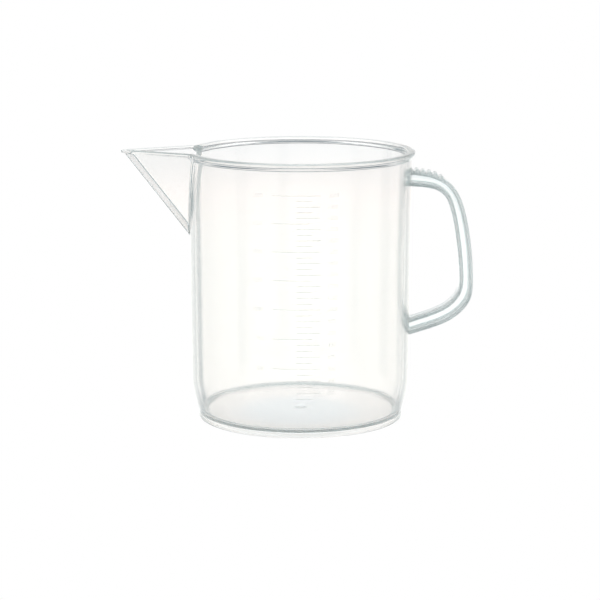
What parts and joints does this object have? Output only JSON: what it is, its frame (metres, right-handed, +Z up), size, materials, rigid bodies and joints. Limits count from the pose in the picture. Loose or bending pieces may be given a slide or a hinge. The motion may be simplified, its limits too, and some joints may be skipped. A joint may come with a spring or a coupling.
{
  "type": "beaker",
  "caption": "Clear plastic measuring beaker with a rolled brim, a deep V pouring spout, a closed D handle of H section and a raised millilitre scale on the front wall.",
  "frame": {"origin": "middle of the whole outline on the table plane; the vessel's own axis stands 1.84 mm towards +X from it", "axes": "+Z up along the vessel's axis; the spout points to -X, the handle to +X, and the scale faces -Y"},
  "size_m": [0.2224, 0.1446, 0.1706],
  "materials": {
    "clear_plastic": "clear, glossy moulded plastic",
    "base_plastic": "clear, glossy moulded plastic, faintly blue where it is thick",
    "handle_plastic": "clear moulded plastic, grey-green seen edge on",
    "raised_marks": "fine frosted relief"
  },
  "bodies": {
    "root": {"foot_ring": "base_plastic", "base_plate": "base_plastic", "gate_mark": "base_plastic", "heel_ring": "clear_plastic", "vessel_wall": "clear_plastic", "rim_lip": "clear_plastic", "spout_cheek_front": "clear_plastic", "spout_cheek_back": "clear_plastic", "spout_lip_front": "clear_plastic", "spout_lip_back": "clear_plastic", "handle_outer_flange": "handle_plastic", "handle_inner_flange": "handle_plastic", "handle_web": "handle_plastic", "thumb_ridges": "handle_plastic", "marks_50ml": "raised_marks", "marks_100ml": "raised_marks", "marks_250ml": "raised_marks", "numerals_100ml": "raised_marks", "numerals_250ml": "raised_marks"}
  },
  "joints": []
}
